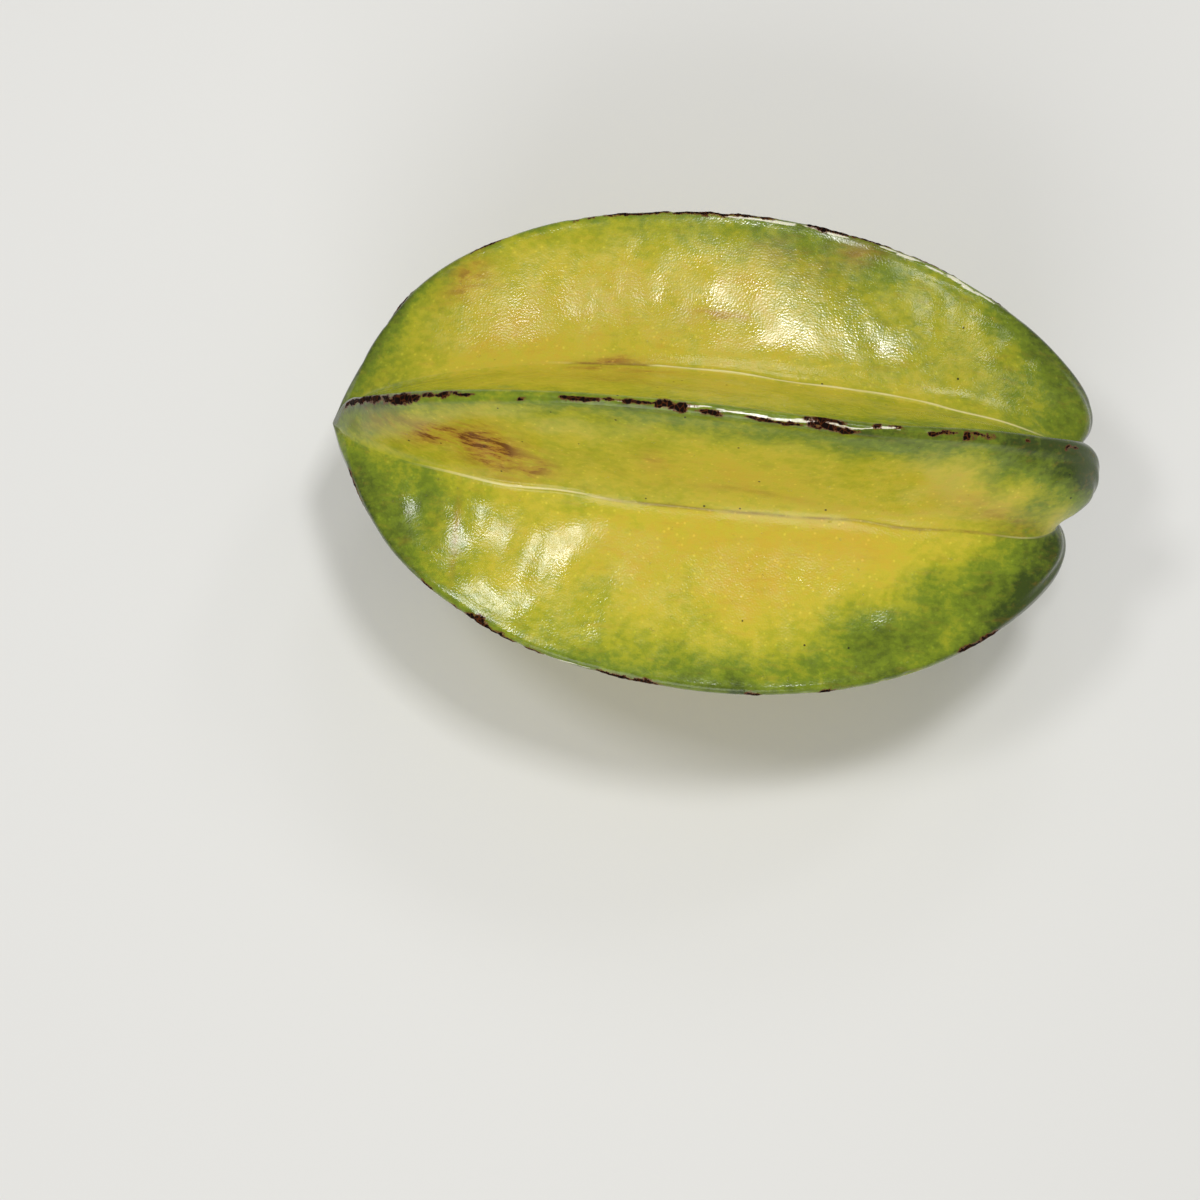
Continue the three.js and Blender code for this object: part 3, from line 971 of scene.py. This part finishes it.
def with_seam_highlight(tree, colour, look):
    """A pale line painted along a valley's bottom as the highlight of its raised line, between the apex and
    the lobes, outside the brown and shaded stretches.
    """
    on_line = ranged(tree, skin_field(tree, "groove"), (0.08, 0.25), (0.85, 0.0))
    outside_brown_and_shade = math_node(tree, "SUBTRACT", 1.0, skin_field(tree, "browned"))
    off_lobes = ranged(tree, skin_field(tree, "length"), (0.86, 0.96), (1.0, 0.0))
    off_ends = product(tree, skin_field(tree, "line"), off_lobes)
    return mixed(tree, product(tree, on_line, product(tree, outside_brown_and_shade, off_ends)), colour, look.seam)


def with_crest_highlight(tree, colour, torn, look):
    """A pale broken line painted on the crests as their highlight."""
    level = total(tree, skin_field(tree, "waxy"), ranged(tree, torn, (0.35, 0.65), (-0.25, 0.25)))
    return mixed(tree, ranged(tree, level, (0.3, 0.6), (0.0, 0.9)), colour, look.crest_highlight_colour)


def with_scabs(tree, colour, where, scab_level, scab_share, look):
    """Frayed brown skin beside the scabs, and their near black crust with brown cracks."""
    beside = ranged(tree, skin_field(tree, "scab"), (0.01, 0.15))
    frayed = product(tree, beside, ranged(tree, scab_level, (0.05, 0.46), (0.0, 0.85)))
    along_cracks = stretched(tree, where, CRACKS_DRAWN)
    crack = add_node(tree, "ShaderNodeTexVoronoi", Vector=along_cracks, Scale=CRACKS_PER_METRE)
    crack.feature = "DISTANCE_TO_EDGE"
    crack_share = ranged(tree, crack.outputs["Distance"], (0.0, 0.07), (0.55, 0.0))
    crust = mixed(tree, crack_share, look.scab, look.bruise)
    return mixed(tree, scab_share, mixed(tree, frayed, colour, look.bruise), crust)


def with_stalk_scar(tree, colour, crumble, stalk_share, look):
    """Dry crumbling cork where the stalk was."""
    dark_cork = mixed(tree, 1.0, look.cork, CORK_SHADE, "MULTIPLY")
    woody = mixed(tree, ranged(tree, crumble, (0.35, 0.65)), dark_cork, look.cork)
    return mixed(tree, stalk_share, colour, woody)


def skin_material(look):
    """Waxy skin: ripening colours with the marks laid over them one by one. The scabs are rough and dull."""
    material = bpy.data.materials.new("waxy_skin")
    material.use_nodes = True
    tree = material.node_tree
    inputs = tree.nodes["Principled BSDF"].inputs
    where = tree.nodes.new("ShaderNodeTexCoord").outputs["Object"]
    torn = noise(tree, stretched(tree, where, TORN_DRAWN), *TORN)
    crumble = noise(tree, where, *CRUMBLE)
    scab_level = total(tree, skin_field(tree, "scab"), ranged(tree, crumble, (0.3, 0.7), (-0.5, 0.5)))
    scab_share = ranged(tree, scab_level, (0.46, 0.60))
    stalk_share = ranged(tree, skin_field(tree, "stalk"), (0.2, 0.8))

    colour = skin_colours(tree, ripeness(tree, where), look)
    colour = with_bruises(tree, colour, where, torn, look)
    colour = with_crease(tree, colour, torn, look)
    colour = with_specks(tree, colour, where, look)
    colour = with_seam_highlight(tree, colour, look)
    colour = with_crest_highlight(tree, colour, torn, look)
    colour = with_scabs(tree, colour, where, scab_level, scab_share, look)
    colour = with_stalk_scar(tree, colour, crumble, stalk_share, look)
    tree.links.new(colour, inputs["Base Color"])

    dull = (look.roughness - 0.05, look.roughness + 0.07)
    sheen = ranged(tree, noise(tree, where, *SHEEN), (0.35, 0.65), dull)
    scabs_dull = product(tree, scab_share, SCAB_ROUGHENS)
    stalk_dull = product(tree, stalk_share, STALK_ROUGHENS)
    tree.links.new(total(tree, sheen, scabs_dull, stalk_dull), inputs["Roughness"])

    wrinkles = product(tree, noise(tree, where, *WRINKLES), WRINKLE_BUMP)
    peel = product(tree, noise(tree, where, *ORANGE_PEEL), PEEL_BUMP)
    height = total(tree, wrinkles, peel, product(tree, scab_share, crumble))
    bump = add_node(tree, "ShaderNodeBump", Strength=BUMP_STRENGTH, Distance=BUMP_DISTANCE, Height=height)
    tree.links.new(bump.outputs[0], inputs["Normal"])

    bare_share = math_node(tree, "SUBTRACT", 1.0, scab_share)
    tree.links.new(product(tree, bare_share, look.translucence), inputs["Subsurface Weight"])
    inputs["Subsurface Radius"].default_value = LIGHT_REACH_BY_COLOUR
    inputs["Subsurface Scale"].default_value = LIGHT_REACH
    inputs["IOR"].default_value = SKIN_IOR
    tree.links.new(product(tree, bare_share, SKIN_COAT), inputs["Coat Weight"])
    inputs["Coat Roughness"].default_value = COAT_ROUGHNESS
    tree.links.new(ranged(tree, scab_share, (0.0, 1.0), (0.5, 0.06)), inputs["Specular IOR Level"])
    return material


# ---- Stage ----

AIM_FROM_APEX = 55.0        # millimetres along the fruit to the point that the framing is set by
AIM_ACROSS = 1.0            # and across it
AIM_PIXEL = (713, 456)      # where that point falls in the frame
FRAME_PIXELS = 1200
SENSOR_WIDTH = 36.0         # millimetres
NEAREST_SEEN = 0.01         # metres from the camera

FLOOR_ROUGHNESS = 0.6
SKY_COLOUR = (1.0, 0.975, 0.91, 1.0)

# The lamps: name, direction from the fruit, distance and side in metres, and the setting with its power.
LAMPS = (
    ("key", (0.11, 0.215, 0.97), 0.7, 0.10, "key_power"),
    ("left", (-0.36, 0.12, 0.925), 0.7, 0.11, "left_power"),
    ("front", (-0.12, -0.85, 0.50), 0.8, 0.60, "front_power"),
    ("back", (0.05, 0.72, 0.69), 0.7, 0.14, "back_power"),
    ("rim", (0.40, 0.57, 0.72), 0.7, 0.10, "rim_power"),
)


def plain_material(name, colour, roughness):
    """One even colour and roughness, set on the shader itself."""
    material = bpy.data.materials.new(name)
    material.use_nodes = True
    shader = material.node_tree.nodes["Principled BSDF"]
    shader.inputs["Base Color"].default_value = (*colour, 1.0)
    shader.inputs["Roughness"].default_value = roughness
    return material


def floor_object(stage):
    """A square floor at the height that the fruit lies on."""
    half = stage.floor_size / 2
    mesh = bpy.data.meshes.new("floor")
    corners = [(-half, -half, 0), (half, -half, 0), (half, half, 0), (-half, half, 0)]
    mesh.from_pydata(corners, [], [(0, 1, 2, 3)])
    mesh.materials.append(plain_material("floor", stage.floor_colour, FLOOR_ROUGHNESS))
    floor = bpy.data.objects.new("floor", mesh)
    bpy.context.scene.collection.objects.link(floor)
    return floor


def soft_light(name, direction, distance, size, power, target):
    """A square area light that faces the target from a direction."""
    lamp = bpy.data.lights.new(name, "AREA")
    lamp.shape = "SQUARE"
    lamp.size = size
    lamp.energy = power
    light = bpy.data.objects.new(name, lamp)
    back = Vector(direction).normalized()
    turn = back.to_track_quat("Z", "Y").to_matrix().to_4x4()
    light.matrix_world = Matrix.Translation(target + back * distance) @ turn
    bpy.context.scene.collection.objects.link(light)
    return light


def camera_object(stage, target):
    """A camera with no tilt to the side, moved off the target so that it falls on its pixel."""
    sin_a, cos_a = math.sin(stage.azimuth), math.cos(stage.azimuth)
    sin_e, cos_e = math.sin(stage.elevation), math.cos(stage.elevation)
    back = Vector((sin_a * cos_e, -cos_a * cos_e, sin_e))
    right = Vector((cos_a, sin_a, 0))
    up = back.cross(right)
    pixel = stage.distance * SENSOR_WIDTH / stage.lens / FRAME_PIXELS
    from_middle = right * (AIM_PIXEL[0] - FRAME_PIXELS / 2) + up * (FRAME_PIXELS / 2 - AIM_PIXEL[1])
    place = target + back * stage.distance - from_middle * pixel

    data = bpy.data.cameras.new("camera")
    data.lens = stage.lens
    data.sensor_width = SENSOR_WIDTH
    data.clip_start = NEAREST_SEEN
    camera = bpy.data.objects.new("camera", data)
    turn = Matrix((right, up, back)).transposed().to_4x4()
    camera.matrix_world = Matrix.Translation(place) @ turn
    bpy.context.scene.collection.objects.link(camera)
    bpy.context.scene.camera = camera
    return camera


def studio_world(stage):
    """Even, slightly warm light from all round."""
    world = bpy.data.worlds.new("studio")
    world.use_nodes = True
    background = world.node_tree.nodes["Background"]
    background.inputs["Color"].default_value = SKY_COLOUR
    background.inputs["Strength"].default_value = stage.sky
    return world


# ---- Settings ----


def colour_property(name, description, default):
    """A colour that the user can pick, in linear values."""
    return FloatVectorProperty(name=name, description=description, default=default, subtype="COLOR",
                               size=3, min=0.0, max=1.0)


class StarFruitLook(bpy.types.PropertyGroup):
    """Colours, gloss and relief of the skin."""

    ripe: colour_property("Ripe", "Warm gold of the ripest skin, in the valleys", (0.58, 0.41, 0.034))
    yellow: colour_property("Yellow", "Yellow of the middle of the faces", (0.53, 0.45, 0.030))
    lime: colour_property("Lime", "Yellow green towards the crests", (0.37, 0.37, 0.014))
    green: colour_property("Green", "Green of the edges and ends", (0.168, 0.230, 0.009))
    deep: colour_property("Deep green", "Darkest green, at the tips", (0.036, 0.060, 0.003))
    russet: colour_property("Russet", "Light brown of streaks and stains", (0.41, 0.185, 0.028))
    # Olive brown of a valley floor, also painted as the shade in its crease.
    crease: colour_property("Crease", "Olive brown of a browned valley floor", (0.24, 0.15, 0.018))
    bruise: colour_property("Bruise", "Dark brown of bruises and frayed skin", (0.15, 0.038, 0.008))
    scab: colour_property("Scab", "Near black of the corky scars", (0.006, 0.002, 0.001))
    # A pale colour painted on the raised line in each valley as its highlight.
    seam: colour_property("Seam", "Pale fine line along the bottom of a valley", (0.76, 0.68, 0.30))
    # A pale colour painted along the crests as their highlight.
    crest_highlight_colour: colour_property("Crest highlight", "Pale wax on a crest between its scabs", (0.80, 0.78, 0.62))
    cork: colour_property("Cork", "Dry tan of the stalk scar", (0.27, 0.19, 0.085))
    roughness: FloatProperty(name="Roughness", description="Mean roughness of the waxy skin",
                             default=0.20, min=0.05, max=1.0, subtype="FACTOR")
    translucence: FloatProperty(name="Translucence", description="Share of light that passes under the skin",
                                default=0.16, min=0.0, max=1.0, subtype="FACTOR")
    lump_height: FloatProperty(name="Lump height", description="Height of the soft lumps on the faces",
                               default=0.0001, min=0.0, max=0.001, unit="LENGTH", precision=5)
    scab_height: FloatProperty(name="Scab height", description="How far a scab stands out of the skin",
                               default=0.00015, min=0.0, max=0.001, unit="LENGTH", precision=5)
    inset: FloatProperty(name="Inset", description="How far plain skin lies inside the CAD solid's surface",
                         default=0.00022, min=0.0, max=0.001, unit="LENGTH", precision=5)
    rows: IntProperty(name="Rows", description="Mesh rows from apex to stalk scar",
                      default=300, min=60, max=500)
    steps_across: IntProperty(name="Steps across", description="Mesh steps from a crest to a valley",
                              default=32, min=8, max=40)


class StarFruitStage(bpy.types.PropertyGroup):
    """Floor, lights and camera."""

    floor_colour: colour_property("Floor", "Colour of the plain floor", (0.70, 0.70, 0.69))
    floor_size: FloatProperty(name="Floor size", description="Side of the square floor", default=6.0,
                              min=1.0, unit="LENGTH")
    key_power: FloatProperty(name="Key power", description="Power of the main light, nearly overhead",
                             default=1.7, min=0.0, unit="POWER")
    left_power: FloatProperty(name="Left power", description="Power of the light on the apex end's side",
                              default=0.95, min=0.0, unit="POWER")
    front_power: FloatProperty(name="Front power", description="Power of the large soft light in front",
                               default=2.8, min=0.0, unit="POWER")
    back_power: FloatProperty(name="Back power", description="Power of the small light behind",
                              default=0.28, min=0.0, unit="POWER")
    rim_power: FloatProperty(name="Rim power", description="Power of the small light behind the stem end",
                             default=0.28, min=0.0, unit="POWER")
    sky: FloatProperty(name="Sky", description="Strength of the even light from all round", default=0.36,
                       min=0.0, max=5.0)
    azimuth: FloatProperty(name="Azimuth", description="Turn of the camera about the upright axis",
                           default=math.radians(5), subtype="ANGLE")
    elevation: FloatProperty(name="Elevation", description="Height of the camera over the floor as an angle",
                             default=math.radians(82.5), subtype="ANGLE")
    distance: FloatProperty(name="Distance", description="Distance of the camera from the fruit's middle",
                            default=0.48, min=0.1, unit="LENGTH")
    lens: FloatProperty(name="Lens", description="Focal length in millimetres", default=100.08,
                        min=10.0, unit="CAMERA")


# ---- Operators ----


class STARFRUIT_OT_fruit(bpy.types.Operator):
    """Add the star fruit with its waxy skin, in place of the plain CAD solid"""

    bl_idname = "starfruit.fruit"
    bl_label = "Star Fruit"

    def execute(self, context):
        look = context.scene.star_fruit_look
        piece = bpy.data.objects.new("fruit_skin", skin_mesh("fruit_skin", look))
        context.scene.collection.objects.link(piece)
        piece.data.materials.append(skin_material(look))
        if len(piece.data.polygons) == 0:
            raise RuntimeError("the skin has no faces")
        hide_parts("fruit")
        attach(piece, "root")
        return {"FINISHED"}


class STARFRUIT_OT_stage(bpy.types.Operator):
    """Add the pale floor, the soft lights and the camera"""

    bl_idname = "starfruit.stage"
    bl_label = "Stage"

    def execute(self, context):
        stage = context.scene.star_fruit_stage
        low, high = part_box("fruit")
        top_radius = max(radius for _, radius in CREST_LINE) * MM
        target = Vector((low.x + AIM_FROM_APEX * MM, AIM_ACROSS * MM, high.z - top_radius))
        floor_object(stage)
        for name, direction, distance, size, power in LAMPS:
            soft_light(name, direction, distance, size, getattr(stage, power), target)
        camera_object(stage, target)
        context.scene.world = studio_world(stage)
        context.scene.view_settings.view_transform = "Standard"
        return {"FINISHED"}


class STARFRUIT_PT_tools(bpy.types.Panel):
    """Lists the pieces in the sidebar"""

    bl_label = "Star Fruit"
    bl_idname = "STARFRUIT_PT_tools"
    bl_space_type = "VIEW_3D"
    bl_region_type = "UI"
    bl_category = "Star Fruit"

    def draw(self, context):
        layout = self.layout
        for operator in (STARFRUIT_OT_fruit, STARFRUIT_OT_stage):
            layout.operator(operator.bl_idname)
        for settings in (context.scene.star_fruit_look, context.scene.star_fruit_stage):
            box = layout.box()
            for name in settings.bl_rna.properties.keys():
                if name not in ("rna_type", "name"):
                    box.prop(settings, name)


CLASSES = (StarFruitLook, StarFruitStage, STARFRUIT_OT_fruit, STARFRUIT_OT_stage, STARFRUIT_PT_tools)


def register():
    for cls in CLASSES:
        bpy.utils.register_class(cls)
    bpy.types.Scene.star_fruit_look = PointerProperty(type=StarFruitLook)
    bpy.types.Scene.star_fruit_stage = PointerProperty(type=StarFruitStage)


def unregister():
    del bpy.types.Scene.star_fruit_stage
    del bpy.types.Scene.star_fruit_look
    for cls in reversed(CLASSES):
        bpy.utils.unregister_class(cls)


def main():
    register()
    bpy.ops.starfruit.fruit()
    bpy.ops.starfruit.stage()


if __name__ == "__main__":
    main()
